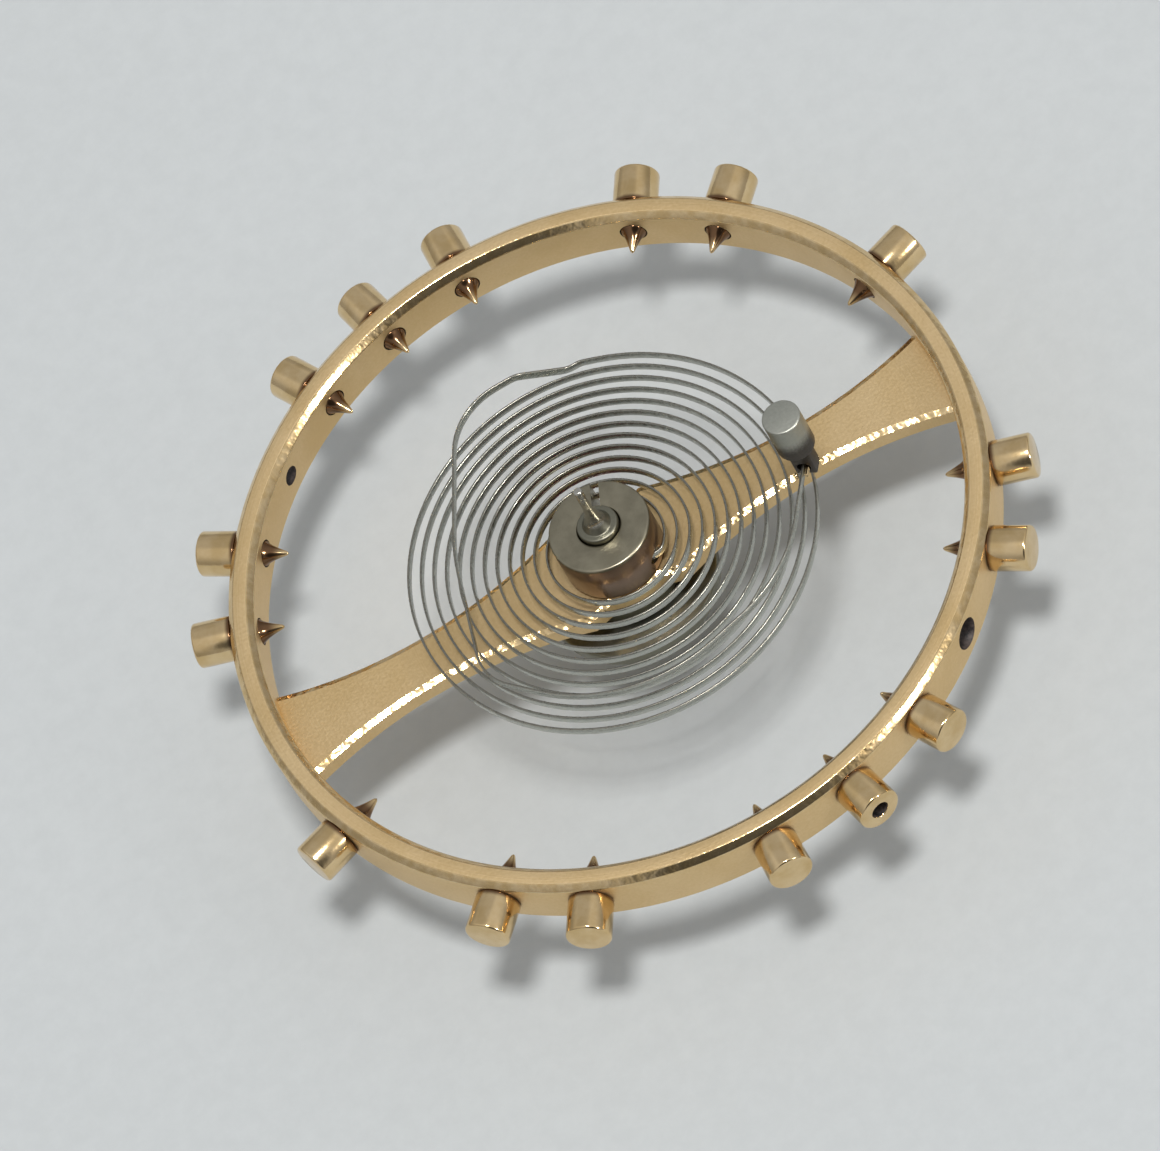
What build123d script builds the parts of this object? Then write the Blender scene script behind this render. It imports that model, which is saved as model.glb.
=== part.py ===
from build123d import *
import math
import os

# A screwed watch balance with its staff, double roller, collet, overcoil hairspring and stud.
# Millimetres. The origin is the end of the lower pivot, +Z runs up the staff, +X along one arm.

# Rim and arm
rim_radius = 5.0
rim_wall = 0.34
rim_height = 0.72
rim_edge_bevel = 0.08
rim_foot_bevel = 0.03
arm_thickness = 0.25
arm_above_rim_foot = 0.04
arm_bevel = 0.08
arm_hub_radius = 0.80
arm_flare_length = 0.60
arm_root_half_width = 0.76
arm_waist_reach = 2.65
arm_waist_half_width = 0.36
arm_end_half_width = 0.73
arm_end_in_rim = 0.14

# Timing screws, seen along the radial thread
screw_first_angle = 20.0
screw_pitch_angle = 14.0
screw_steps = (0, 2, 3, 5, 6, 7, 9, 10)
empty_hole_step = 8
half_turn = 180.0
full_turn = 360.0
screw_head_radius = 0.29
screw_head_length = 0.515
screw_head_bevel = 0.03
screw_shank_radius = 0.165
screw_point_length = 0.31
screw_point_hollow = 0.02
screw_point_flat = 0.012
screw_seat_gap = 0.005
thread_clearance = 0.012
drilled_screw = 13
drilled_radius = 0.12
drilled_depth = 0.15

# Staff, from the lower pivot up
pivot_radius = 0.06
pivot_end_round = 0.03
lower_pivot_length = 0.35
lower_cone_length = 0.28
lower_cone_radius = 0.20
cone_hollow = 0.03
roller_seat_radius = 0.24
roller_end_gap = 0.07
staff_step_radius = 0.34
staff_step_length = 0.13
flange_radius = 0.72
flange_thickness = 0.25
flange_bevel = 0.04
wheel_seat_radius = 0.42
rivet_spread = 0.06
rivet_depth = 0.05
collet_seat_radius = 0.27
collet_seat_above_collet = 0.08
collet_seat_bevel = 0.03
upper_cone_length = 0.43
upper_cone_radius = 0.19
upper_pivot_length = 0.40

# Double roller and its jewel
safety_roller_radius = 0.55
safety_roller_thickness = 0.17
safety_collar_radius = 0.40
safety_collar_length = 0.18
crescent_radius = 0.26
roller_table_radius = 1.15
roller_table_thickness = 0.20
roller_bevel = 0.03
jewel_angle = 90.0
jewel_outer_wall = 0.20
jewel_radius = 0.18
jewel_flat_depth = 0.09
jewel_above_table = 0.06
jewel_below_safety_roller = 0.05

# Collet and hairspring
collet_radius = 0.663
collet_height = 0.69
collet_bevel = 0.035
collet_arm_gap = 0.02
collet_turning_clearance = 0.015
collet_slit_width = 0.11
collet_slit_angle = 71.0
spring_thickness = 0.03
spring_height = 0.12
spring_above_arm = 0.17
spring_pitch = 0.166
spring_whole_turns = 12
spring_start_gap = 0.07
spring_start_angle = -35.0
spring_end_angle = 68.0
dogleg_bend_radius = 0.18
dogleg_turn = 55.0
spring_length_in_collet = 0.40
pin_hole_radius = 0.09
pin_radius = 0.03
pin_gap = 0.005
collet_pin_length = 0.45
collet_hole_past_pin = 0.05

# Elbow and overcoil, whose corners are (share of the outer coil's radius, angle)
elbow_lead = 0.22
elbow_flat = 0.12
elbow_run = 0.62
overcoil_rise = 0.44
elbow_bend_radius = 0.12
elbow_turn_radius = 0.30
overcoil_corner_shares = ((1.024, 108.7), (0.70, 157.8), (0.905, 207.4), (1.028, 254.7), (0.986, 310.7))
overcoil_bend_shares = (0.345, 1.2, 0.26, 0.82, 0.74)

# Stud
stud_reach = 2.74
stud_angle = -13.7
stud_foot_width = 0.28
stud_foot_thickness = 0.22
stud_foot_below_spring = 0.15
stud_foot_length = 0.55
stud_head_radius = 0.25
stud_head_length = 0.69
stud_bevel = 0.02
stud_pin_length = 0.46
spring_past_stud = 0.14

# Every cut runs this far past the face that it leaves
overrun = 0.5

# Heights up the staff
safety_roller_bottom = lower_pivot_length + lower_cone_length + roller_end_gap
safety_collar_bottom = safety_roller_bottom + safety_roller_thickness
roller_table_bottom = safety_collar_bottom + safety_collar_length
roller_table_top = roller_table_bottom + roller_table_thickness
flange_bottom = roller_table_top + staff_step_length
arm_bottom = flange_bottom + flange_thickness
arm_top = arm_bottom + arm_thickness
rim_bottom = arm_bottom - arm_above_rim_foot
rim_middle = rim_bottom + rim_height / 2
collet_bottom = arm_top + collet_arm_gap
collet_top = collet_bottom + collet_height
collet_seat_top = collet_top + collet_seat_above_collet
upper_pivot_bottom = collet_seat_top + upper_cone_length
upper_pivot_top = upper_pivot_bottom + upper_pivot_length
spring_middle = arm_top + spring_above_arm + spring_height / 2
overcoil_middle = spring_middle + overcoil_rise
stud_foot_bottom = overcoil_middle - stud_foot_below_spring
stud_head_bottom = stud_foot_bottom + stud_foot_length
stud_top = stud_head_bottom + stud_head_length

# Places that several pieces share
rim_inner_radius = rim_radius - rim_wall
screw_tip_reach = rim_inner_radius - screw_point_length
jewel_flat_place = jewel_radius - jewel_flat_depth
jewel_reach = roller_table_radius - jewel_outer_wall - jewel_flat_place
spring_first_radius = collet_radius + spring_start_gap
spring_outer_radius = spring_first_radius + spring_pitch * spring_whole_turns
pin_offset = spring_thickness / 2 + pin_gap + pin_radius


def polar(radius, angle, height=0.0):
    """The point at a radius, an angle in degrees and a height."""
    turn = math.radians(angle)
    return Vector(radius * math.cos(turn), radius * math.sin(turn), height)


def turned(*outline):
    """The solid that a closed outline of (radius, height) edges makes about the staff's axis."""
    return revolve(make_face(Wire(list(outline))), Axis.Z)


def path_through(points):
    """Straight edges from point to point in the plane through the axis, as (radius, height)."""
    corners = [Vector(radius, 0, height) for radius, height in points]
    return [Line(start, end) for start, end in zip(corners, corners[1:])]


def hollow_flank(start, end, hollow):
    """An arc between two (radius, height) points that bows towards the axis by the hollow."""
    first = Vector(start[0], 0, start[1])
    last = Vector(end[0], 0, end[1])
    along = (last - first).normalized()
    inward = Vector(-abs(along.Z), 0, abs(along.X) * math.copysign(1, along.Z))
    return ThreePointArc(first, (first + last) / 2 + inward * hollow, last)


def screw_angles():
    """The angles of all screws: the same steps on each half of the rim."""
    first_half = [screw_first_angle + screw_pitch_angle * step for step in screw_steps]
    return first_half + [angle + half_turn for angle in first_half]


def radial_hole(angle, radius):
    """A cutter across the rim's wall at one angle."""
    cutter = Cylinder(radius, rim_wall + overrun, rotation=(0, 90, 0))
    return Rot(0, 0, angle) * Pos(rim_radius - rim_wall / 2, 0, rim_middle) * cutter


def make_rim():
    top = rim_bottom + rim_height
    outline = path_through([
        (rim_inner_radius + rim_foot_bevel, rim_bottom),
        (rim_radius - rim_foot_bevel, rim_bottom),
        (rim_radius, rim_bottom + rim_foot_bevel),
        (rim_radius, top - rim_edge_bevel),
        (rim_radius - rim_edge_bevel, top),
        (rim_inner_radius + rim_edge_bevel, top),
        (rim_inner_radius, top - rim_edge_bevel),
        (rim_inner_radius, rim_bottom + rim_foot_bevel),
        (rim_inner_radius + rim_foot_bevel, rim_bottom),
    ])
    return turned(*outline)


def make_arm():
    """One bar across the wheel, widest at the hub and at the rim."""
    end = rim_inner_radius + arm_end_in_rim
    lower = ThreePointArc(
        (arm_flare_length, -arm_root_half_width),
        (arm_waist_reach, -arm_waist_half_width),
        (end, -arm_end_half_width),
    )
    upper = ThreePointArc(
        (end, arm_end_half_width),
        (arm_waist_reach, arm_waist_half_width),
        (arm_flare_length, arm_root_half_width),
    )
    tip = Line(lower @ 1, upper @ 0)
    root = Line(upper @ 1, lower @ 0)
    half = make_face(Wire([lower, tip, upper, root]))
    outline = half + Rot(0, 0, half_turn) * half + Circle(arm_hub_radius)
    bar = Pos(0, 0, arm_bottom) * extrude(outline, amount=arm_thickness)
    return chamfer(bar.faces().sort_by(Axis.Z)[-1].edges(), arm_bevel)


def make_balance_wheel():
    wheel = make_rim() + make_arm()
    wheel -= Pos(0, 0, arm_bottom) * Cylinder(
        wheel_seat_radius, arm_thickness + overrun, align=(Align.CENTER, Align.CENTER, Align.CENTER)
    )
    wheel -= Pos(0, 0, arm_top - rivet_depth) * Cone(
        wheel_seat_radius,
        wheel_seat_radius + rivet_spread,
        rivet_depth,
        align=(Align.CENTER, Align.CENTER, Align.MIN),
    )
    hole_angle = screw_first_angle + screw_pitch_angle * empty_hole_step
    for angle in screw_angles() + [hole_angle, hole_angle + half_turn]:
        wheel -= radial_hole(angle, screw_shank_radius + thread_clearance)
    return wheel


def make_balance_staff():
    """One turned piece: pivots, cones, roller seat, flange, wheel seat and collet seat."""
    lower_cone_foot = (pivot_radius, lower_pivot_length)
    lower_cone_head = (lower_cone_radius, lower_pivot_length + lower_cone_length)
    upper_cone_foot = (upper_cone_radius, collet_seat_top)
    upper_cone_head = (pivot_radius, upper_pivot_bottom)
    outline = path_through([
        (0, 0),
        (pivot_radius - pivot_end_round, 0),
        (pivot_radius, pivot_end_round),
        lower_cone_foot,
    ])
    outline.append(hollow_flank(lower_cone_foot, lower_cone_head, cone_hollow))
    outline += path_through([
        lower_cone_head,
        (roller_seat_radius, lower_cone_head[1]),
        (roller_seat_radius, roller_table_top),
        (staff_step_radius, roller_table_top),
        (staff_step_radius, flange_bottom),
        (flange_radius - flange_bevel, flange_bottom),
        (flange_radius, flange_bottom + flange_bevel),
        (flange_radius, arm_bottom),
        (wheel_seat_radius, arm_bottom),
        (wheel_seat_radius, arm_top - rivet_depth),
        (wheel_seat_radius + rivet_spread, arm_top),
        (collet_seat_radius, arm_top),
        (collet_seat_radius, collet_seat_top - collet_seat_bevel),
        (collet_seat_radius - collet_seat_bevel, collet_seat_top),
        upper_cone_foot,
    ])
    outline.append(hollow_flank(upper_cone_foot, upper_cone_head, cone_hollow))
    outline += path_through([
        upper_cone_head,
        (pivot_radius, upper_pivot_top - pivot_end_round),
        (pivot_radius - pivot_end_round, upper_pivot_top),
        (0, upper_pivot_top),
        (0, 0),
    ])
    return turned(*outline)


def standing_disc(radius, thickness, bottom, bevel=0.0):
    """An upright disc on its lower face, bevelled round both edges where asked."""
    disc = Cylinder(radius, thickness, align=(Align.CENTER, Align.CENTER, Align.MIN))
    if bevel:
        disc = chamfer(disc.edges().filter_by(GeomType.CIRCLE), bevel)
    return Pos(0, 0, bottom) * disc


def jewel_blank(bottom, top):
    """The D-shaped impulse jewel, flat towards the outside of the roller."""
    shape = Circle(jewel_radius)
    shape -= Pos(jewel_flat_place + overrun / 2, 0) * Rectangle(overrun, 2 * jewel_radius + overrun)
    column = extrude(shape, amount=top - bottom)
    return Rot(0, 0, jewel_angle) * Pos(jewel_reach, 0, bottom) * column


def make_impulse_jewel():
    bottom = safety_roller_bottom - jewel_below_safety_roller
    return jewel_blank(bottom, roller_table_top + jewel_above_table)


def make_roller_table():
    table = standing_disc(roller_table_radius, roller_table_thickness, roller_table_bottom, roller_bevel)
    table -= standing_disc(roller_seat_radius, roller_table_top, 0)
    return table - jewel_blank(roller_table_bottom - overrun, roller_table_top + overrun)


def make_safety_roller():
    roller = standing_disc(safety_roller_radius, safety_roller_thickness, safety_roller_bottom)
    roller += standing_disc(safety_collar_radius, safety_collar_length, safety_collar_bottom)
    roller -= standing_disc(roller_seat_radius, roller_table_top, 0)
    crescent = standing_disc(crescent_radius, safety_roller_thickness, safety_roller_bottom)
    return roller - Rot(0, 0, jewel_angle) * Pos(safety_roller_radius + crescent_radius / 2, 0, 0) * crescent


def make_timing_screw(angle, drilled):
    """Round head, plain shank for the thread and a hollow-ground point inside the rim."""
    seat = rim_radius + screw_seat_gap
    end = seat + screw_head_length
    point_foot = (screw_point_flat, screw_tip_reach)
    point_head = (screw_shank_radius, rim_inner_radius)
    outline = path_through([(0, screw_tip_reach), point_foot])
    outline.append(hollow_flank(point_foot, point_head, screw_point_hollow))
    outline += path_through([
        point_head,
        (screw_shank_radius, seat),
        (screw_head_radius, seat),
        (screw_head_radius, end - screw_head_bevel),
        (screw_head_radius - screw_head_bevel, end),
        (0, end),
        (0, screw_tip_reach),
    ])
    screw = turned(*outline)
    if drilled:
        screw -= standing_disc(drilled_radius, drilled_depth + overrun, end - drilled_depth)
    return Rot(0, 0, angle) * Pos(0, 0, rim_middle) * Rot(0, 90, 0) * screw


def spiral_arcs():
    """The flat coil: half-turn arcs about two centres, each half a pitch larger than the last."""
    arcs = []
    shift = spring_pitch / 4
    last = 2 * spring_whole_turns
    for half in range(-1, last + 1):
        centre_x = shift if half % 2 else -shift
        radius = spring_first_radius + shift + half * spring_pitch / 2
        start = spring_start_angle if half < 0 else half * half_turn
        end = half * half_turn + (spring_end_angle if half == last else half_turn)
        arcs.append(CenterArc((centre_x, 0, spring_middle), radius, start % full_turn, end - start))
    return arcs


def spring_inner_route(first_arc):
    """Hole end, bend corner and tangent point of the dogleg that leads into the collet."""
    tangent = (first_arc % 0).normalized()
    start = first_arc @ 0
    corner = start - tangent * dogleg_bend_radius * math.tan(math.radians(dogleg_turn) / 2)
    inward = tangent.rotate(Axis.Z, -dogleg_turn)
    return [corner - inward * spring_length_in_collet, corner, start]


def spring_outer_route(last_arc):
    """Corners from the end of the flat coil through the elbow and overcoil to the stud."""
    lead = (last_arc @ 1) + (last_arc % 1).normalized() * elbow_lead
    corners = [
        polar(spring_outer_radius * share, angle, overcoil_middle) for share, angle in overcoil_corner_shares
    ]
    across = Vector(corners[0].X - lead.X, corners[0].Y - lead.Y, 0).normalized()
    rise_foot = lead + across * elbow_flat
    rise_head = rise_foot + across * elbow_run + Vector(0, 0, overcoil_rise)
    stud = polar(stud_reach, stud_angle, overcoil_middle)
    past = (stud - corners[-1]).normalized() * spring_past_stud
    return [last_arc @ 1, lead, rise_foot, rise_head] + corners + [stud + past]


def rounded_route(points, radii):
    """Straight runs joined by tangent arcs, one radius for each inner point."""
    edges = []
    start = points[0]
    for before, corner, after, radius in zip(points, points[1:], points[2:], radii):
        arriving = (corner - before).normalized()
        leaving = (after - corner).normalized()
        half = math.radians(arriving.get_angle(leaving)) / 2
        reach = radius * math.tan(half)
        inward = (leaving - arriving).normalized()
        middle = corner + inward * (radius / math.cos(half) - radius)
        if (corner - arriving * reach - start).length > pin_gap:
            edges.append(Line(start, corner - arriving * reach))
        edges.append(ThreePointArc(corner - arriving * reach, middle, corner + leaving * reach))
        start = corner + leaving * reach
    if (points[-1] - start).length > pin_gap:
        edges.append(Line(start, points[-1]))
    return edges


def spring_path():
    """The middle line of the whole spring, from inside the collet to past the stud."""
    coil = spiral_arcs()
    inner = rounded_route(spring_inner_route(coil[0]), [dogleg_bend_radius])
    bends = [spring_outer_radius * share for share in overcoil_bend_shares]
    radii = [elbow_turn_radius, elbow_bend_radius, elbow_bend_radius] + bends
    outer = rounded_route(spring_outer_route(coil[-1]), radii)
    return Wire(inner + coil + outer)


def least_gap(path, samples=1500):
    """The least distance between turns of the ribbon, measured on points of its middle line."""
    points = [path @ (count / samples) for count in range(samples + 1)]
    apart = math.pi * spring_first_radius / path.length * samples
    least = min(
        (points[first] - points[second]).length
        for first in range(samples)
        for second in range(first + math.ceil(apart), samples + 1)
    )
    return least - spring_thickness


def make_hairspring(path):
    """A ribbon standing on edge, swept along the middle line as one piece."""
    start = path @ 0
    along = path % 0
    section = Plane(start, x_dir=along.cross(Vector(0, 0, 1)), z_dir=along) * Rectangle(
        spring_thickness, spring_height
    )
    return sweep(section, path=path)


def pin_beside(point, along, side, length, radius, shift=0.0):
    """A round bar centred near a point, moved aside and lying along a level direction."""
    middle = point + side * shift
    return Plane(middle, x_dir=side, z_dir=along) * Cylinder(radius, length)


def make_collet(path):
    """A split ring with a blind side hole, which takes the spring's inner end and its pin."""
    ring = standing_disc(collet_radius, collet_height, collet_bottom, collet_bevel)
    ring -= standing_disc(
        collet_seat_radius + collet_turning_clearance, collet_height + overrun, collet_bottom - overrun / 2
    )
    slit = Box(
        collet_radius + overrun,
        collet_slit_width,
        collet_height + overrun,
        align=(Align.MIN, Align.CENTER, Align.CENTER),
    )
    ring -= Rot(0, 0, collet_slit_angle) * Pos(0, 0, (collet_bottom + collet_top) / 2) * slit
    along = path % 0
    side = along.cross(Vector(0, 0, 1))
    inner_end = (path @ 0) - along * (collet_pin_length / 2 + collet_hole_past_pin)
    hole_length = collet_radius + overrun
    return ring - pin_beside(inner_end + along * hole_length / 2, along, side, hole_length, pin_hole_radius)


def make_collet_pin(path):
    side = (path % 0).cross(Vector(0, 0, 1))
    return pin_beside(path @ 0, path % 0, side * -1, collet_pin_length, pin_radius, pin_offset)


def make_stud(path):
    """A round head over a flat foot, which is drilled along the spring for it and its pin."""
    along = path % 1
    side = along.cross(Vector(0, 0, 1))
    place = polar(stud_reach, stud_angle)
    foot_plane = Plane(place + Vector(0, 0, stud_foot_bottom), x_dir=side, z_dir=Vector(0, 0, 1))
    foot = foot_plane * Box(
        stud_foot_width,
        stud_foot_thickness,
        stud_foot_length,
        align=(Align.CENTER, Align.CENTER, Align.MIN),
    )
    head = Pos(place) * standing_disc(stud_head_radius, stud_head_length, stud_head_bottom, stud_bevel)
    hole_middle = polar(stud_reach, stud_angle, overcoil_middle)
    hole = pin_beside(hole_middle, along, side, stud_foot_thickness + overrun, pin_hole_radius)
    return foot + head - hole


def make_stud_pin(path):
    side = (path % 1).cross(Vector(0, 0, 1))
    hole_middle = polar(stud_reach, stud_angle, overcoil_middle)
    return pin_beside(hole_middle, path % 1, side, stud_pin_length, pin_radius, pin_offset)


def main():
    os.makedirs("parts", exist_ok=True)
    path = spring_path()
    hairspring = make_hairspring(path)
    print(f"hairspring: length {path.length:.2f} mm, volume {hairspring.volume:.4f} mm3,")
    print(f"section times length {path.length * spring_thickness * spring_height:.4f} mm3,")
    print(f"least gap between turns {least_gap(path):.3f} mm")
    pieces = {
        "balance_wheel": make_balance_wheel(),
        "balance_staff": make_balance_staff(),
        "roller_table": make_roller_table(),
        "safety_roller": make_safety_roller(),
        "impulse_jewel": make_impulse_jewel(),
        "collet": make_collet(path),
        "collet_pin": make_collet_pin(path),
        "hairspring": hairspring,
        "stud": make_stud(path),
        "stud_pin": make_stud_pin(path),
    }
    for number, angle in enumerate(screw_angles(), start=1):
        pieces[f"timing_screw_{number:02d}"] = make_timing_screw(angle, number == drilled_screw)
    for name, shape in pieces.items():
        export_step(shape, f"parts/{name}.step")


main()
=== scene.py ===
import math

import bmesh
import bpy
from mathutils import Matrix, Vector
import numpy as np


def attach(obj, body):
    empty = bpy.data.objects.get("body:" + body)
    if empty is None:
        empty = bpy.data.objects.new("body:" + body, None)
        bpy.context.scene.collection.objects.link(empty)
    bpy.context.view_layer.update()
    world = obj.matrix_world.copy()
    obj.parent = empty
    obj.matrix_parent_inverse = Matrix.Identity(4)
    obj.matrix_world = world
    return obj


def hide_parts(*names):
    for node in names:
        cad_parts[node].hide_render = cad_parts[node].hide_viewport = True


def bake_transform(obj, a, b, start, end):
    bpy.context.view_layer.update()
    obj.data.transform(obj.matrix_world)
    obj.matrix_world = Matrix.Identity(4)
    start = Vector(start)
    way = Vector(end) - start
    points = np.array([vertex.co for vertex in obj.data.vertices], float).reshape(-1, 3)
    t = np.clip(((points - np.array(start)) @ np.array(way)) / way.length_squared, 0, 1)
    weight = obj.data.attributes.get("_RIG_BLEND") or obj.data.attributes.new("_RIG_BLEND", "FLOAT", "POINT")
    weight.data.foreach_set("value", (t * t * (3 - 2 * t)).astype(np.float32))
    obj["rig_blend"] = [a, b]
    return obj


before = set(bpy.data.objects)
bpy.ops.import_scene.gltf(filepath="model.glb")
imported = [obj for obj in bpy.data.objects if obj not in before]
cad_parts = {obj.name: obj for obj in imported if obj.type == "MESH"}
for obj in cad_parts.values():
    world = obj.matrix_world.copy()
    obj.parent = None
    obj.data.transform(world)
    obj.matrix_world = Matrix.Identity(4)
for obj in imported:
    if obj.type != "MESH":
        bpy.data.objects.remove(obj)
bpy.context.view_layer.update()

# A screwed watch balance with hairspring and stud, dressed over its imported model.
# Sizes are in millimetres and become metres through MM. Heights count from the lower pivot's end.

MM = 0.001
UP = Vector((0, 0, 1))

# Rim and arm
RIM_RADIUS = 5.0
RIM_WALL = 0.34
RIM_BOTTOM = 1.59
RIM_HEIGHT = 0.72
RIM_EDGE_BEVEL = 0.08
RIM_FOOT_BEVEL = 0.03
RIM_EDGE_ROUNDING = 0.014
RIM_FOOT_ROUNDING = 0.008
RIM_MIDDLE = RIM_BOTTOM + RIM_HEIGHT / 2
RIM_INNER_RADIUS = RIM_RADIUS - RIM_WALL
ARM_BOTTOM = 1.63
ARM_TOP = 1.88
ARM_BEVEL_WIDTH = 0.075
ARM_BEVEL_DEPTH = 0.033
ARM_HUB_RADIUS = 0.70
ARM_HUB_MEET_ANGLE = 62.0
ARM_FLARE = (0.66, 0.72)
ARM_WAIST = (2.65, 0.36)
ARM_END = (4.80, 0.73)
ARM_CURVE_STEPS = 40
ARM_HUB_STEPS = 24

# Timing screws
SCREW_FIRST_ANGLE = 20.0
SCREW_PITCH_ANGLE = 14.0
SCREW_STEPS = (0, 2, 3, 5, 6, 7, 9, 10)
EMPTY_HOLE_STEP = 8
SCREW_SEAT = 5.005
SCREW_END = 5.52
SCREW_HEAD_RADIUS = 0.29
SCREW_SHANK_RADIUS = 0.165
SCREW_HOLE_RADIUS = 0.177
EMPTY_HOLE_RADIUS = 0.17
EMPTY_HOLE_FLARE = 0.235
SCREW_TIP = 4.35
# The hollow-ground point's corners: radius, and distance behind the tip
SCREW_POINT_FLANK = ((0.025, 0.02), (0.075, 0.16), (0.115, 0.25))
DRILLED_SCREW = 13
DRILLED_RADIUS = 0.12
DRILLED_DEPTH = 0.15
DRILLED_FLOOR_CONE = 0.05

# Staff, from the lower pivot up; cone corners are (radius, height)
PIVOT_RADIUS = 0.06
LOWER_PIVOT_TOP = 0.35
LOWER_CONE_TOP = 0.63
LOWER_CONE = ((0.075, 0.45), (0.115, 0.55), (0.20, LOWER_CONE_TOP))
STAFF_STEP_RADIUS = 0.34
STAFF_STEP_TOP = 1.38
FLANGE_RADIUS = 0.72
ARM_SEAT_RADIUS = 0.42
RIVET_BOTTOM = 1.83
RIVET_RADIUS = 0.48
COLLET_SEAT_RADIUS = 0.27
STAFF_SHOULDER = 2.67
UPPER_CONE = ((0.19, STAFF_SHOULDER), (0.105, 2.82), (0.075, 2.96))
UPPER_PIVOT_BOTTOM = 3.10
UPPER_PIVOT_TOP = 3.50

# Collet and stud
COLLET_RADIUS = 0.663
COLLET_BORE = 0.285
COLLET_BOTTOM = 1.90
COLLET_TOP = 2.59
COLLET_SLIT_WIDTH = 0.11
COLLET_SLIT_ANGLE = 71.0
PIN_HOLE_RADIUS = 0.09
PIN_RADIUS = 0.03
PIN_OFFSET = 0.05
COLLET_PIN_LENGTH = 0.45
COLLET_HOLE_PAST_PIN = 0.05
STUD_PIN_LENGTH = 0.46
STUD_RADIUS_OUT = 2.74
STUD_ANGLE = -13.7
STUD_FOOT_BOTTOM = 2.40
STUD_FOOT_WIDTH = 0.28
STUD_FOOT_THICKNESS = 0.22
STUD_HEAD_BOTTOM = 2.95
STUD_HEAD_RADIUS = 0.25
STUD_TOP = 3.64
STUD_BEVEL = 0.02
STUD_HOLE_OVERRUN = 0.5

# Hairspring
SPRING_THICKNESS = 0.03
SPRING_EDGE_ROUNDING = 0.010
SPRING_HEIGHT = 0.12
SPRING_MIDDLE = 2.11
OVERCOIL_MIDDLE = 2.55
SPRING_FIRST_RADIUS = 0.733
SPRING_PITCH = 0.166
SPRING_WHOLE_TURNS = 12
SPRING_START_ANGLE = -35.0
SPRING_END_ANGLE = 68.0
SPRING_OUTER_RADIUS = SPRING_FIRST_RADIUS + SPRING_PITCH * SPRING_WHOLE_TURNS
DOGLEG_RADIUS = 0.18
DOGLEG_TURN = 55.0
SPRING_IN_COLLET = 0.40
ELBOW_LEAD = 0.22
ELBOW_FLAT = 0.18
ELBOW_RUN = 0.62
ELBOW_TURN_RADIUS = 0.30
ELBOW_BEND_RADIUS = 0.28
OVERCOIL_CORNERS = ((1.024, 108.7), (0.70, 157.8), (0.905, 207.4), (1.028, 254.7), (0.986, 310.7))
OVERCOIL_BENDS = (0.345, 1.2, 0.26, 0.82, 0.74)
SPRING_PAST_STUD = 0.14
DEGREES_PER_RING = 3.0
# Ribbon faces that look up or down by more than this are its edges
RIBBON_EDGE_LIFT = 0.7

# Double roller and jewel
JEWEL_ANGLE = 90.0
JEWEL_REACH = 0.86
JEWEL_RADIUS = 0.18
JEWEL_FLAT = 0.09
JEWEL_BOTTOM = 0.65
JEWEL_TOP = 1.31
TABLE_RADIUS = 1.15
TABLE_BOTTOM = 1.05
TABLE_TOP = 1.25
ROLLER_SEAT_RADIUS = 0.24
SAFETY_RADIUS = 0.55
SAFETY_BOTTOM = 0.70
SAFETY_TOP = 0.87
SAFETY_COLLAR_RADIUS = 0.40
CRESCENT_RADIUS = 0.26
CRESCENT_CUT_SHORTENING = 0.02

# Radiance of the surroundings, and the directions in which they are dimmer
HORIZON = 0.36
ZENITH = 0.64
MIRROR_OF_LEVEL_FACES = (-0.02, 0.565, 0.825)
BEHIND_THE_CAMERA = (-0.05, -0.83, 0.56)
CEILING_RISE = (0.15, 0.75)
ABOVE_DIMMING = 0.25
FRONT_DIMMING = 0.85
LAMP_DISTANCE = 300.0
FLOOR_SIZE = 400.0

# The camera's lens, its directions and its place, from the fit of the screws' ends
CAMERA_SENSOR_WIDTH = 36.0
CAMERA_LENS = 455.07
CAMERA_RIGHT = (0.8688, -0.3982, -0.2944)
CAMERA_UP = (0.4948, 0.7225, 0.4829)
CAMERA_BACK = (0.0205, -0.5652, 0.8247)
CAMERA_PLACE = (3.25, -104.15, 151.86 + RIM_MIDDLE)

# How far cutters run past what they cut, in all or at each end
OVERRUN = 0.2
# Points closer than this count as one place
SAME_PLACE = 1e-6


def polar(radius, angle, height=0.0):
    """The point at a radius, an angle in degrees and a height."""
    turn = math.radians(angle)
    return Vector((radius * math.cos(turn), radius * math.sin(turn), height))


def screw_angles():
    """The angles of all screws: the same steps on each half of the rim."""
    first_half = [SCREW_FIRST_ANGLE + SCREW_PITCH_ANGLE * step for step in SCREW_STEPS]
    return first_half + [angle + 180 for angle in first_half]


# Shader helpers


class Socket:
    """A shader socket; sums and products of it add Math nodes."""

    def __init__(self, graph, socket):
        self.graph = graph
        self.socket = socket

    def math(self, operation, first, second):
        return self.graph.add("ShaderNodeMath", {"operation": operation}, {0: first, 1: second})

    def __add__(self, other):
        return self.math("ADD", self, other)

    def __radd__(self, other):
        return self.math("ADD", other, self)

    def __sub__(self, other):
        return self.math("SUBTRACT", self, other)

    def __rsub__(self, other):
        return self.math("SUBTRACT", other, self)

    def __mul__(self, other):
        return self.math("MULTIPLY", self, other)

    def __rmul__(self, other):
        return self.math("MULTIPLY", other, self)

    def smoothstep(self, low, high):
        """0 below low, 1 above high and a smooth change between them."""
        return self.graph.add(
            "ShaderNodeMapRange",
            {"interpolation_type": "SMOOTHSTEP", "clamp": True},
            {"Value": self, "From Min": low, "From Max": high},
        )


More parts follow.
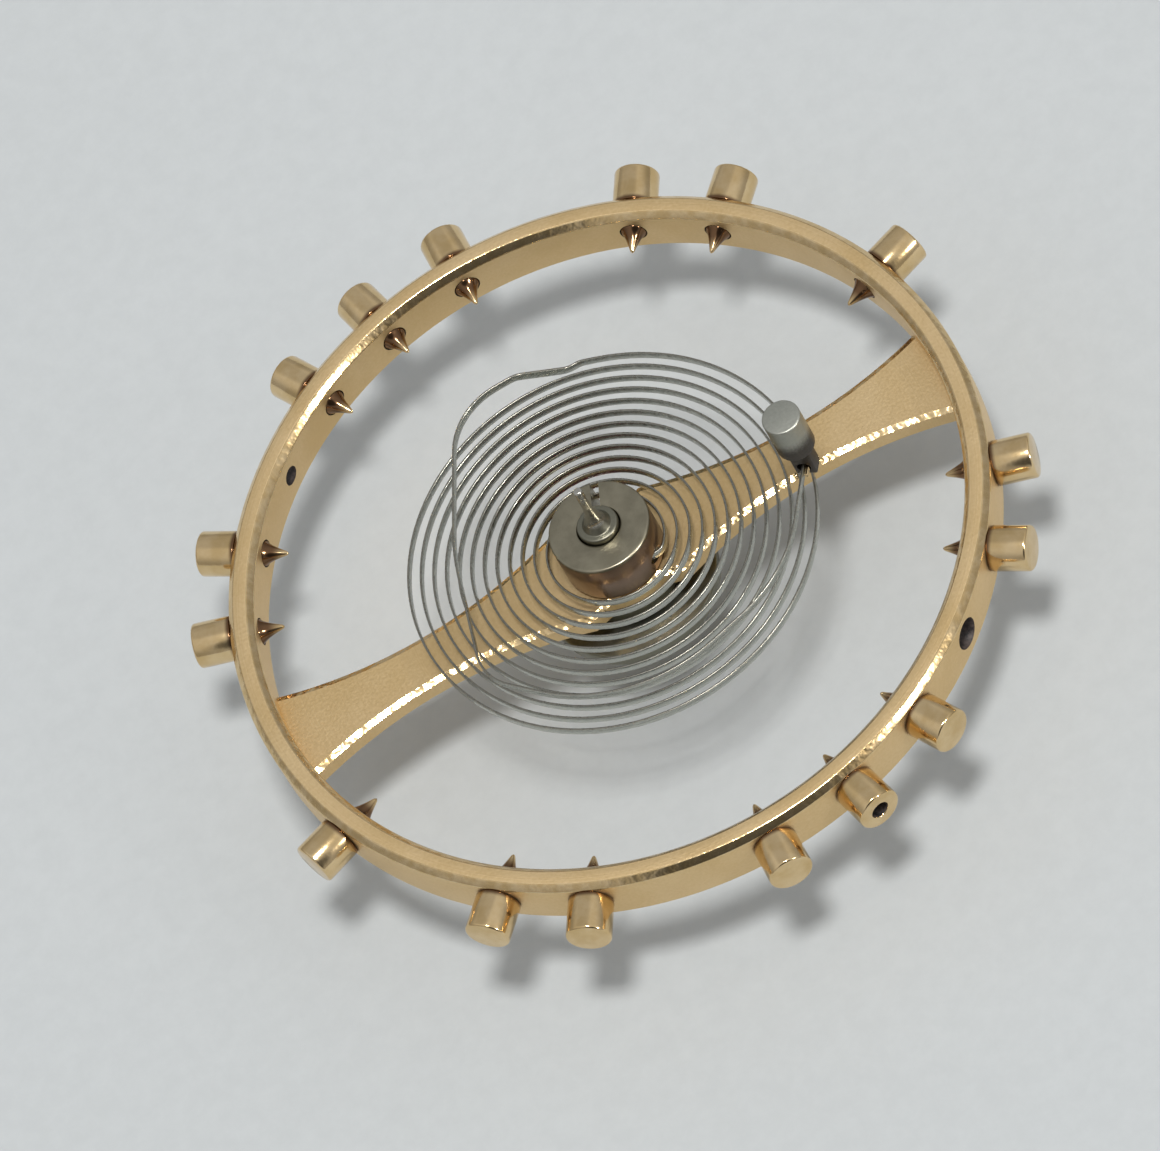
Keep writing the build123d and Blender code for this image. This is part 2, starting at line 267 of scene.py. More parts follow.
class Graph:
    """A node tree under construction."""

    def __init__(self, tree):
        self.tree = tree
        self.tree.nodes.clear()

    def add(self, kind, settings=None, inputs=None, output=0):
        """Adds a node, sets it up, fills its sockets and gives one of its outputs."""
        node = self.tree.nodes.new(kind)
        for name, value in (settings or {}).items():
            setattr(node, name, value)
        for name, value in (inputs or {}).items():
            if isinstance(value, Socket):
                self.tree.links.new(value.socket, node.inputs[name])
            else:
                node.inputs[name].default_value = value
        return Socket(self, node.outputs[output]) if len(node.outputs) else None

    def place(self):
        """Object coordinates in millimetres."""
        coordinates = self.add("ShaderNodeTexCoord", output="Object")
        return self.add(
            "ShaderNodeVectorMath", {"operation": "SCALE"}, {"Vector": coordinates, "Scale": 1 / MM}
        )

    def noise(self, place, per_mm, detail=3.0, roughness=0.55):
        return self.add(
            "ShaderNodeTexNoise",
            None,
            {"Vector": place, "Scale": per_mm, "Detail": detail, "Roughness": roughness},
        )

    def stripes(self, distance, per_mm, detail=2.0):
        """Uneven stripes that follow one distance alone."""
        return self.add(
            "ShaderNodeTexNoise",
            {"noise_dimensions": "1D"},
            {"W": distance, "Scale": per_mm, "Detail": detail},
        )

    def blend(self, share, low, high):
        """A colour between two colours."""
        return self.add(
            "ShaderNodeMix", {"data_type": "RGBA"}, {"Factor": share, 6: low, 7: high}, output=2
        )

    def bump(self, height, depth_mm):
        inputs = {"Height": height, "Strength": 1.0, "Distance": depth_mm * MM}
        return self.add("ShaderNodeBump", None, inputs)

    def towards(self, direction, middle, outer_cosine, inner_cosine):
        """1 in directions near the middle one, 0 away from it."""
        near = self.add(
            "ShaderNodeVectorMath", {"operation": "DOT_PRODUCT"}, {0: direction, 1: middle}, output="Value"
        )
        return near.smoothstep(outer_cosine, inner_cosine)

    def height(self, place):
        """The height above the lower pivot's end in millimetres."""
        return self.add("ShaderNodeSeparateXYZ", None, {"Vector": place}, output="Z")

    def radius(self, place):
        """The distance from the staff's axis in millimetres."""
        flat = self.add(
            "ShaderNodeVectorMath", {"operation": "MULTIPLY"}, {0: place, 1: (1.0, 1.0, 0.0)}
        )
        return self.add("ShaderNodeVectorMath", {"operation": "LENGTH"}, {0: flat}, output="Value")


def colour(red, green, blue):
    return (red, green, blue, 1.0)


def new_material(name, paint, **constants):
    """A principled material. paint(graph) gives the sockets that vary; constants are set on the shader."""
    material = bpy.data.materials.new(name)
    material.use_nodes = True
    graph = Graph(material.node_tree)
    inputs = {key.replace("_", " "): value for key, value in constants.items()}
    inputs.update(paint(graph))
    shader = graph.add("ShaderNodeBsdfPrincipled", None, inputs)
    graph.add("ShaderNodeOutputMaterial", None, {"Surface": shader})
    return material


GOLD_DEEP = colour(0.68, 0.485, 0.235)
GOLD_PALE = colour(0.80, 0.605, 0.345)
# Brown for dirt, and for painted shade and reflection where the screws meet the rim
BROWN_DIRT_AND_SHADE = colour(0.19, 0.105, 0.055)


def gilt_grain(graph):
    """Fine matte gilding with faint turned lines and a slow change of tone."""
    place = graph.place()
    grain = graph.noise(place, 26.0, 4.0, 0.6)
    cloud = graph.noise(place, 0.9, 2.0)
    lines = graph.stripes(graph.radius(place), 60.0)
    tone = 0.50 * cloud + 0.35 * grain + 0.15 * lines
    return {
        "Base Color": graph.blend(tone.smoothstep(0.30, 0.72), GOLD_DEEP, GOLD_PALE),
        "Roughness": 0.38 + 0.16 * grain,
        "Normal": graph.bump(0.8 * grain + 0.2 * lines, 0.004),
    }


def polished_gold(waves_per_mm, wave_depth):
    """Polished gold with a little waviness, which breaks its glints into beads."""

    def paint(graph):
        place = graph.place()
        wave = graph.noise(place, waves_per_mm, 2.0)
        scratch = graph.noise(place, 40.0, 3.0, 0.7)
        return {
            "Base Color": graph.blend(wave.smoothstep(0.3, 0.7), GOLD_DEEP, GOLD_PALE),
            "Roughness": 0.14 + 0.06 * scratch,
            "Normal": graph.bump(wave, wave_depth),
        }

    return paint


def screw_gold(graph):
    """Turned and polished gold, browned where the screw enters the rim on either side: some dirt, and
    painted shade and reflection at the joints.
    """
    place = graph.place()
    patch = graph.noise(place, 3.0, 3.0, 0.6)
    fine = graph.noise(place, 30.0, 3.0, 0.6)
    gold = graph.blend(patch.smoothstep(0.3, 0.7), GOLD_DEEP, GOLD_PALE)
    reach = graph.radius(place) + 0.02 * patch
    behind_point = reach.smoothstep(SCREW_TIP + 0.02, SCREW_TIP + 0.22)
    under_head = 1.0 - reach.smoothstep(RIM_RADIUS + 0.03, RIM_RADIUS + 0.09)
    return {
        # Painted shade and reflection, with some dirt, at the point's base and under the head
        "Base Color": graph.blend(behind_point * under_head, gold, BROWN_DIRT_AND_SHADE),
        "Roughness": 0.10 + 0.09 * fine,
        "Normal": graph.bump(patch, 0.004),
    }


def polished_steel(graph):
    """Bright at the pivots, duller and greyer away from the axis."""
    place = graph.place()
    fine = graph.noise(place, 30.0, 3.0, 0.6)
    bright = graph.blend(fine, colour(0.42, 0.41, 0.37), colour(0.58, 0.56, 0.51))
    dull = graph.blend(fine, colour(0.19, 0.185, 0.14), colour(0.25, 0.24, 0.19))
    outer = graph.radius(place).smoothstep(0.11, 0.15)
    return {
        "Base Color": graph.blend(outer, bright, dull),
        "Roughness": 0.12 + 0.12 * fine + 0.16 * outer,
        "Normal": graph.bump(fine, 0.001),
    }


def turned_steel(graph):
    """Satin steel, reddish brown round its side below the top edge, with rings left by turning."""
    place = graph.place()
    radius = graph.radius(place)
    rings = graph.stripes(radius, 50.0, 3.0)
    mottle = graph.noise(place, 4.0, 4.0, 0.65)
    steel = graph.blend(
        mottle.smoothstep(0.25, 0.75), colour(0.265, 0.24, 0.175), colour(0.34, 0.31, 0.23)
    )
    # The side below the rounded top edge is coloured reddish brown, darker than the top
    below_edge = 1.0 - graph.height(place).smoothstep(COLLET_TOP - 0.05, COLLET_TOP - 0.025)
    side = radius.smoothstep(COLLET_RADIUS - 0.03, COLLET_RADIUS - 0.01) * below_edge
    return {
        "Base Color": graph.blend(side, steel, colour(0.28, 0.20, 0.15)),
        "Roughness": 0.26 + 0.10 * mottle,
        "Normal": graph.bump(rings, 0.0015),
    }


def stud_grain(graph):
    """Grey satin steel, darker from the foot up to the head's lower part."""
    place = graph.place()
    grain = graph.noise(place, 28.0, 4.0, 0.65)
    grey = graph.blend(grain, colour(0.33, 0.335, 0.295), colour(0.47, 0.475, 0.425))
    # The darker colour of the stud's lower part
    mottle = graph.blend(grain, colour(0.05, 0.043, 0.037), colour(0.11, 0.095, 0.08))
    height = graph.height(place) + 0.12 * grain
    above_dark_part = height.smoothstep(STUD_HEAD_BOTTOM + 0.22, STUD_HEAD_BOTTOM + 0.48)
    return {
        "Base Color": graph.blend(above_dark_part, mottle, grey),
        "Roughness": 0.34 + 0.16 * grain,
        "Normal": graph.bump(grain, 0.002),
    }


def spring_sheen(graph):
    """Rolled ribbon, slightly uneven along its length, with faint long streaks."""
    place = graph.place()
    stretched = graph.add(
        "ShaderNodeVectorMath", {"operation": "MULTIPLY"}, {0: place, 1: (1.0, 1.0, 14.0)}
    )
    streak = graph.noise(stretched, 6.0, 3.0, 0.6)
    along = graph.add("ShaderNodeAttribute", {"attribute_name": "length_along"}, output="Fac")
    wave = graph.stripes(along, 8.0)
    return {
        "Base Color": graph.blend(streak, colour(0.39, 0.40, 0.365), colour(0.56, 0.57, 0.525)),
        "Roughness": 0.20 + 0.14 * streak,
        "Normal": graph.bump(wave, 0.008),
    }


def spring_edge_painted_shade(graph):
    """The ribbon's narrow edges: duller than its rolled faces, and painted darker and warmer as shade."""
    place = graph.place()
    grain = graph.noise(place, 12.0, 3.0, 0.6)
    return {
        "Base Color": graph.blend(grain, colour(0.22, 0.21, 0.18), colour(0.32, 0.31, 0.27)),
        "Roughness": 0.22 + 0.12 * grain,
    }


def ruby_depth(graph):
    """Clear red with a slight cloud."""
    place = graph.place()
    cloud = graph.noise(place, 6.0, 2.0)
    return {
        "Base Color": graph.blend(cloud, colour(0.42, 0.012, 0.05), colour(0.66, 0.03, 0.10)),
        "Roughness": 0.04 + 0.04 * cloud,
    }


def thread_shade(graph):
    """The thread inside a screw's hole, painted near black as the shade in the hole, mottled with dirt."""
    place = graph.place()
    dirt = graph.noise(place, 14.0, 3.0, 0.7)
    return {
        "Base Color": graph.blend(
            dirt.smoothstep(0.3, 0.7), colour(0.014, 0.012, 0.013), colour(0.12, 0.09, 0.08)
        ),
        "Roughness": 0.45 + 0.2 * dirt,
    }


MATTE_GILT = new_material("matte gilding", gilt_grain, Metallic=1.0)
RIM_BEVEL_GOLD = new_material("polished gold rim bevel", polished_gold(7.0, 0.007), Metallic=1.0)
ARM_BEVEL_GOLD = new_material("polished gold arm bevel", polished_gold(4.5, 0.032), Metallic=1.0)
SCREW_GOLD = new_material("turned gold", screw_gold, Metallic=1.0)
BRIGHT_STEEL = new_material("polished steel", polished_steel, Metallic=1.0)
ROLLER_STEEL = new_material("satin roller steel", polished_steel, Metallic=1.0)
TURNED_STEEL = new_material("turned satin steel", turned_steel, Metallic=1.0)
STUD_STEEL = new_material("grey satin steel", stud_grain, Metallic=1.0)
SPRING_STEEL = new_material("hairspring alloy", spring_sheen, Metallic=1.0)
SPRING_EDGE = new_material("hairspring edge", spring_edge_painted_shade, Metallic=1.0)
PIN_BRASS = new_material("drawn brass", screw_gold, Metallic=1.0)
THREAD = new_material("dark thread", thread_shade)
RUBY = new_material("ruby", ruby_depth, Transmission_Weight=0.55, IOR=1.77, Coat_Weight=0.2)


# Modelling helpers


def make_object(name, bm, materials):
    """The bmesh as an object at the origin, in metres, with its materials."""
    bmesh.ops.remove_doubles(bm, verts=bm.verts, dist=SAME_PLACE)
    bmesh.ops.recalc_face_normals(bm, faces=bm.faces)
    bmesh.ops.scale(bm, vec=(MM, MM, MM), verts=bm.verts)
    mesh = bpy.data.meshes.new(name)
    bm.to_mesh(mesh)
    bm.free()
    for material in materials:
        mesh.materials.append(material)
    piece = bpy.data.objects.new(name, mesh)
    bpy.context.scene.collection.objects.link(piece)
    return piece


def smooth(piece, sharp_degrees):
    """Smooth faces, with edges steeper than the angle kept sharp."""
    piece.data.shade_smooth()
    piece.data.set_sharp_from_angle(angle=math.radians(sharp_degrees))


def combine(piece, other, operation):
    """Joins or cuts the piece with another object by a boolean, and removes the other."""
    modifier = piece.modifiers.new("combine", "BOOLEAN")
    modifier.operation = operation
    modifier.solver = "EXACT"
    modifier.material_mode = "TRANSFER"
    modifier.object = other
    bpy.context.view_layer.update()
    result = bpy.data.meshes.new_from_object(piece.evaluated_get(bpy.context.evaluated_depsgraph_get()))
    piece.modifiers.clear()
    piece.data = result
    bpy.data.objects.remove(other)


def dress(piece, body, slot, *nodes, sharp_degrees=32.0):
    """The finished piece rides its body and stands for its nodes."""
    smooth(piece, sharp_degrees)
    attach(piece, body)
    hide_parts(*nodes)


def outline_face(bm, corners, roundings):
    """A flat face through (across, height) corners in the XZ plane, with rounded corners."""
    verts = [bm.verts.new((across, 0, height)) for across, height in corners]
    bm.faces.new(verts)
    for vert, rounding in zip(verts, roundings):
        if rounding:
            bmesh.ops.bevel(
                bm,
                geom=[vert],
                offset=rounding,
                affect="VERTICES",
                segments=4,
                profile=0.5,
                material=-1,
            )


def turned(corners, roundings, steps=128):
    """A solid of revolution about Z from closed (radius, height) corners."""
    bm = bmesh.new()
    outline_face(bm, corners, roundings)
    bmesh.ops.delete(bm, geom=list(bm.faces), context="FACES_ONLY")
    on_axis = [edge for edge in bm.edges if all(abs(vert.co.x) < SAME_PLACE for vert in edge.verts)]
    bmesh.ops.delete(bm, geom=on_axis, context="EDGES")
    bmesh.ops.spin(
        bm,
        geom=list(bm.verts) + list(bm.edges),
        cent=(0, 0, 0),
        axis=UP,
        angle=math.tau,
        steps=steps,
        use_merge=True,
    )
    bmesh.ops.remove_doubles(bm, verts=bm.verts, dist=SAME_PLACE)
    return bm


def aim(bm, matrix):
    """Moves and turns the bmesh, and gives it back."""
    bmesh.ops.transform(bm, matrix=matrix, verts=bm.verts)
    return bm


def radial(angle):
    """Turns Z outwards along a radius at the rim's middle height."""
    return (
        Matrix.Rotation(math.radians(angle), 4, "Z")
        @ Matrix.Translation((0, 0, RIM_MIDDLE))
        @ Matrix.Rotation(math.radians(90), 4, "Y")
    )


def bar(radius, length, segments=48):
    """A round bar along Z about the origin with slightly rounded ends."""
    rounding = radius / 5
    half = length / 2
    corners = [(0, -half), (radius, -half), (radius, half), (0, half)]
    return turned(corners, [0, rounding, rounding, 0], segments)


def lay(point, along, side, shift=0.0):
    """Puts Z along a level direction, through a point moved aside."""
    upward = along.cross(side)
    turn = Matrix((side, upward, along)).transposed().to_4x4()
    return Matrix.Translation(point + side * shift) @ turn


# The wheel


def make_rim():
    """The ring, bevelled at its upper edges and lightly at its lower ones."""
    top = RIM_BOTTOM + RIM_HEIGHT
    corners = [
        (RIM_INNER_RADIUS + RIM_FOOT_BEVEL, RIM_BOTTOM),
        (RIM_RADIUS - RIM_FOOT_BEVEL, RIM_BOTTOM),
        (RIM_RADIUS, RIM_BOTTOM + RIM_FOOT_BEVEL),
        (RIM_RADIUS, top - RIM_EDGE_BEVEL),
        (RIM_RADIUS - RIM_EDGE_BEVEL, top),
        (RIM_INNER_RADIUS + RIM_EDGE_BEVEL, top),
        (RIM_INNER_RADIUS, top - RIM_EDGE_BEVEL),
        (RIM_INNER_RADIUS, RIM_BOTTOM + RIM_FOOT_BEVEL),
    ]
    roundings = [RIM_FOOT_ROUNDING] * 3 + [RIM_EDGE_ROUNDING] * 4 + [RIM_FOOT_ROUNDING]
    bm = turned(corners, roundings, 360)
    bm.normal_update()
    for face in bm.faces:
        if face.calc_center_median().z > RIM_MIDDLE and 0.2 < abs(face.normal.z) < 0.97:
            face.material_index = 1
    return make_object("balance_wheel_turned", bm, [MATTE_GILT, RIM_BEVEL_GOLD])


def arc_through(start, middle, end, count):
    """Points of the circle through three points, from start to end."""
    (ax, ay), (bx, by), (cx, cy) = start, middle, end
    double_area = 2 * (ax * (by - cy) + bx * (cy - ay) + cx * (ay - by))
    a2, b2, c2 = ax * ax + ay * ay, bx * bx + by * by, cx * cx + cy * cy
    centre = Vector(
        (
            (a2 * (by - cy) + b2 * (cy - ay) + c2 * (ay - by)) / double_area,
            (a2 * (cx - bx) + b2 * (ax - cx) + c2 * (bx - ax)) / double_area,
        )
    )
    first = Vector(start) - centre
    turn = first.angle_signed(Vector(end) - centre)
    return [centre + Matrix.Rotation(-turn * step / count, 2) @ first for step in range(count + 1)]


def make_arm():
    """The straight bar across the wheel, bevelled round its upper edge."""
    bm = bmesh.new()
    outward = [(reach, -half) for reach, half in (ARM_FLARE, ARM_WAIST, ARM_END)]
    inward = [(reach, half) for reach, half in (ARM_END, ARM_WAIST, ARM_FLARE)]
    lower = arc_through(*outward, ARM_CURVE_STEPS)
    upper = arc_through(*inward, ARM_CURVE_STEPS)
    meet = ARM_HUB_MEET_ANGLE
    hub = [
        polar(ARM_HUB_RADIUS, meet + (180 - 2 * meet) * step / ARM_HUB_STEPS)
        for step in range(ARM_HUB_STEPS + 1)
    ]
    right = [Vector((point.x, point.y, 0)) for point in lower + upper]
    left = [Vector((-point.x, -point.y, 0)) for point in lower + upper]
    loop = right + hub + left + [Vector((-point.x, -point.y, 0)) for point in hub]
    face = bm.faces.new([bm.verts.new(point + UP * ARM_BOTTOM) for point in loop])
    grown = bmesh.ops.extrude_face_region(bm, geom=[face])["geom"]
    raised = [item for item in grown if isinstance(item, bmesh.types.BMVert)]
    bmesh.ops.translate(bm, vec=UP * (ARM_TOP - ARM_BEVEL_DEPTH - ARM_BOTTOM), verts=raised)
    top = [item for item in grown if isinstance(item, bmesh.types.BMFace)]
    bm.normal_update()
    bevel = bmesh.ops.inset_region(
        bm, faces=top, thickness=ARM_BEVEL_WIDTH, depth=ARM_BEVEL_DEPTH, use_even_offset=True
    )
    for item in bevel["faces"]:
        item.material_index = 1
    return make_object("arm", bm, [MATTE_GILT, ARM_BEVEL_GOLD])


def add_drill(bm, angle, radius, flare):
    """Adds a cutter through the rim's wall, wider outwards by the flare for each millimetre."""
    depth = 3 * RIM_WALL
    bmesh.ops.create_cone(
        bm,
        cap_ends=True,
        radius1=radius - flare * depth / 2,
        radius2=radius + flare * depth / 2,
        depth=depth,
        segments=40,
        matrix=radial(angle) @ Matrix.Translation((0, 0, RIM_RADIUS - RIM_WALL / 2)),
    )


def make_wheel():
    """The ring and its arm in one piece, drilled for sixteen screws and twice more."""
    wheel = make_rim()
    combine(wheel, make_arm(), "UNION")
    drills = bmesh.new()
    for angle in screw_angles():
        add_drill(drills, angle, SCREW_HOLE_RADIUS, 0)
    empty_angle = SCREW_FIRST_ANGLE + SCREW_PITCH_ANGLE * EMPTY_HOLE_STEP
    for angle in (empty_angle, empty_angle + 180):
        add_drill(drills, angle, EMPTY_HOLE_RADIUS, EMPTY_HOLE_FLARE)
    # The holes' cut walls take the thread material, painted near black as shade
    combine(wheel, make_object("drills", drills, [THREAD]), "DIFFERENCE")
    dress(wheel, "wheel", "gilt_wheel", "balance_wheel", sharp_degrees=18.0)


def make_screw(number, angle):
    """A round head, a shank through the rim and a hollow-ground point inside it."""
    drilled = number == DRILLED_SCREW
    corners = [
        (0, SCREW_TIP),
        *[(across, SCREW_TIP + behind) for across, behind in SCREW_POINT_FLANK],
        (SCREW_SHANK_RADIUS, RIM_INNER_RADIUS),
        (SCREW_SHANK_RADIUS, SCREW_SEAT),
        (SCREW_HEAD_RADIUS, SCREW_SEAT),
        (SCREW_HEAD_RADIUS, SCREW_END),
    ]
    roundings = [0, 0.015, 0.04, 0.04, 0.008, 0.006, 0.015, 0.035]
    if drilled:
        drilled_floor = SCREW_END - DRILLED_DEPTH
        corners += [
            (DRILLED_RADIUS, SCREW_END),
            (DRILLED_RADIUS, drilled_floor),
            (0, drilled_floor - DRILLED_FLOOR_CONE),
        ]
        roundings += [0.015, 0.01, 0]
    else:
        corners += [(0, SCREW_END)]
        roundings += [0]
    bm = turned(corners, roundings, 64)
    # The recess drilled in the head takes the thread material, painted near black as shade
    for face in bm.faces:
        centre = face.calc_center_median()
        if drilled and centre.xy.length < DRILLED_RADIUS and centre.z > SCREW_END - 2 * DRILLED_DEPTH:
            face.material_index = 1
    name = f"timing_screw_{number:02d}"
    screw = make_object(name + "_turned", aim(bm, radial(angle)), [SCREW_GOLD, THREAD])
    dress(screw, name, "screw_gold", name)


# Staff, collet, rollers and jewel


def make_staff():
    """Pivot, cone, roller seat, flange, riveted edge, collet seat, cone and pivot."""
    corners = [
        (0, 0),
        (PIVOT_RADIUS, 0),
        (PIVOT_RADIUS, LOWER_PIVOT_TOP),
        *LOWER_CONE,
        (ROLLER_SEAT_RADIUS, LOWER_CONE_TOP),
        (ROLLER_SEAT_RADIUS, TABLE_TOP),
        (STAFF_STEP_RADIUS, TABLE_TOP),
        (STAFF_STEP_RADIUS, STAFF_STEP_TOP),
        (FLANGE_RADIUS, STAFF_STEP_TOP),
        (FLANGE_RADIUS, ARM_BOTTOM),
        (ARM_SEAT_RADIUS, ARM_BOTTOM),
        (ARM_SEAT_RADIUS, RIVET_BOTTOM),
        (RIVET_RADIUS, ARM_TOP),
        (COLLET_SEAT_RADIUS, ARM_TOP),
        (COLLET_SEAT_RADIUS, STAFF_SHOULDER),
        *UPPER_CONE,
        (PIVOT_RADIUS, UPPER_PIVOT_BOTTOM),
        (PIVOT_RADIUS, UPPER_PIVOT_TOP),
        (0, UPPER_PIVOT_TOP),
    ]
    # One rounding for each corner, in the same order
    roundings = [0, 0.03, 0.02, 0.03, 0.03, 0.01, 0.01, 0.01, 0.01, 0.01, 0.04, 0.01, 0, 0, 0.01, 0.01]
    roundings += [0.03, 0.01, 0.04, 0.04, 0.03, 0.03, 0]
    staff = make_object("balance_staff_turned", turned(corners, roundings, 96), [BRIGHT_STEEL])
    dress(staff, "wheel", "staff_steel", "balance_staff")


def make_rollers():
    """The table with its hole for the jewel, and the safety roller with its crescent."""
    table = turned(
        [
            (ROLLER_SEAT_RADIUS, TABLE_BOTTOM),
            (TABLE_RADIUS, TABLE_BOTTOM),
            (TABLE_RADIUS, TABLE_TOP),
            (ROLLER_SEAT_RADIUS, TABLE_TOP),
        ],
        [0, 0.03, 0.03, 0],
    )
    table = make_object("roller_table_turned", table, [ROLLER_STEEL])
    column = jewel_column(TABLE_BOTTOM - OVERRUN, TABLE_TOP + OVERRUN)
    combine(table, make_object("cutter", column, [ROLLER_STEEL]), "DIFFERENCE")
    dress(table, "wheel", "roller_metal", "roller_table")
    safety = turned(
        [
            (ROLLER_SEAT_RADIUS, SAFETY_BOTTOM),
            (SAFETY_RADIUS, SAFETY_BOTTOM),
            (SAFETY_RADIUS, SAFETY_TOP),
            (SAFETY_COLLAR_RADIUS, SAFETY_TOP),
            (SAFETY_COLLAR_RADIUS, TABLE_BOTTOM),
            (ROLLER_SEAT_RADIUS, TABLE_BOTTOM),
        ],
        [0, 0.015, 0.015, 0.01, 0.01, 0],
    )
    safety = make_object("safety_roller_turned", safety, [ROLLER_STEEL])
    centre = polar(SAFETY_RADIUS + CRESCENT_RADIUS / 2, JEWEL_ANGLE, (SAFETY_BOTTOM + SAFETY_TOP) / 2)
    length = 2 * (SAFETY_TOP - SAFETY_BOTTOM) - CRESCENT_CUT_SHORTENING
    crescent = aim(bar(CRESCENT_RADIUS, length, 64), Matrix.Translation(centre))
    combine(safety, make_object("cutter", crescent, [ROLLER_STEEL]), "DIFFERENCE")
    dress(safety, "wheel", "roller_metal", "safety_roller")


def jewel_column(bottom, top):
    """The D-shaped column of the impulse jewel."""
    bm = bmesh.new()
    bmesh.ops.create_circle(bm, cap_ends=True, radius=JEWEL_RADIUS, segments=48)
    whole = list(bm.verts) + list(bm.edges) + list(bm.faces)
    bmesh.ops.bisect_plane(
        bm, geom=whole, plane_co=(JEWEL_FLAT, 0, 0), plane_no=(1, 0, 0), clear_outer=True
    )
    grown = bmesh.ops.extrude_face_region(bm, geom=list(bm.faces))["geom"]
    raised = [item for item in grown if isinstance(item, bmesh.types.BMVert)]
    bmesh.ops.translate(bm, vec=UP * (top - bottom), verts=raised)
    turn = Matrix.Rotation(math.radians(JEWEL_ANGLE), 4, "Z")
    return aim(bm, turn @ Matrix.Translation((JEWEL_REACH, 0, bottom)))


def make_jewel():
    """The D-shaped jewel, with its end edges rounded."""
    bm = jewel_column(JEWEL_BOTTOM, JEWEL_TOP)
    bm.normal_update()
    rims = [
        edge for edge in bm.edges if abs(edge.verts[0].co.z - edge.verts[1].co.z) < SAME_PLACE
    ]
    bmesh.ops.bevel(bm, geom=rims, offset=0.015, affect="EDGES", segments=3, profile=0.5, material=-1)
    jewel = make_object("impulse_jewel_ground", bm, [RUBY])
    dress(jewel, "wheel", "ruby", "impulse_jewel")


def make_collet(route):
    """A slit ring, drilled blind for the spring's inner end and its pin."""
    collet = turned(
        [
            (COLLET_BORE, COLLET_BOTTOM),
            (COLLET_RADIUS, COLLET_BOTTOM),
            (COLLET_RADIUS, COLLET_TOP),
            (COLLET_BORE, COLLET_TOP),
        ],
        [0.015, 0.035, 0.035, 0.015],
    )
    collet = make_object("collet_turned", collet, [TURNED_STEEL])
    slit = bmesh.new()
    bmesh.ops.create_cube(slit, size=1.0)
    length = COLLET_RADIUS + OVERRUN
    height = COLLET_TOP - COLLET_BOTTOM
    bmesh.ops.scale(slit, vec=(length, COLLET_SLIT_WIDTH, height + OVERRUN), verts=slit.verts)
    aim(slit, Matrix.Translation((length / 2, 0, COLLET_BOTTOM + height / 2)))
    aim(slit, Matrix.Rotation(math.radians(COLLET_SLIT_ANGLE), 4, "Z"))
    combine(collet, make_object("saw_cut", slit, [TURNED_STEEL]), "DIFFERENCE")
    start, along = route.start, route.first_direction
    side = along.cross(UP)
    inner_end = start - along * (COLLET_PIN_LENGTH / 2 + COLLET_HOLE_PAST_PIN)
    hole = aim(bar(PIN_HOLE_RADIUS, length), lay(inner_end + along * length / 2, along, side))
    combine(collet, make_object("drill", hole, [TURNED_STEEL]), "DIFFERENCE")
    dress(collet, "collet", "collet_steel", "collet")
    pin = aim(bar(PIN_RADIUS, COLLET_PIN_LENGTH), lay(start, along, side, -PIN_OFFSET))
    dress(make_object("collet_pin_drawn", pin, [PIN_BRASS]), "collet", "pin_brass", "collet_pin")


def make_stud(route):
    """A round head over a flat foot, drilled for the spring and its pin."""
    place = polar(STUD_RADIUS_OUT, STUD_ANGLE)
    along = route.direction
    side = along.cross(UP)
    head = turned(
        [
            (0, STUD_HEAD_BOTTOM),
            (STUD_HEAD_RADIUS, STUD_HEAD_BOTTOM),
            (STUD_HEAD_RADIUS, STUD_TOP),
            (0, STUD_TOP),
        ],
        [0, 0.02, 0.025, 0],
    )
    stud = make_object("stud_turned", aim(head, Matrix.Translation(place)), [STUD_STEEL])
    foot = bmesh.new()
    length = STUD_HEAD_BOTTOM - STUD_FOOT_BOTTOM + STUD_BEVEL
    bmesh.ops.create_cube(foot, size=1.0)
    bmesh.ops.scale(foot, vec=(STUD_FOOT_WIDTH, length, STUD_FOOT_THICKNESS), verts=foot.verts)
    bmesh.ops.bevel(
        foot, geom=list(foot.edges), offset=STUD_BEVEL, affect="EDGES", segments=3, profile=0.5, material=-1
    )
    aim(foot, lay(place + UP * (STUD_FOOT_BOTTOM + length / 2), along, side))
    combine(stud, make_object("foot", foot, [STUD_STEEL]), "UNION")
    middle = place + UP * OVERCOIL_MIDDLE
    hole = aim(bar(PIN_HOLE_RADIUS, STUD_FOOT_THICKNESS + STUD_HOLE_OVERRUN), lay(middle, along, side))
    combine(stud, make_object("drill", hole, [STUD_STEEL]), "DIFFERENCE")
    dress(stud, "stud_and_spring", "stud_steel", "stud")
    pin = aim(bar(PIN_RADIUS, STUD_PIN_LENGTH), lay(middle, along, side, PIN_OFFSET))
    dress(make_object("stud_pin_drawn", pin, [PIN_BRASS]), "stud_and_spring", "pin_brass", "stud_pin")


# The hairspring


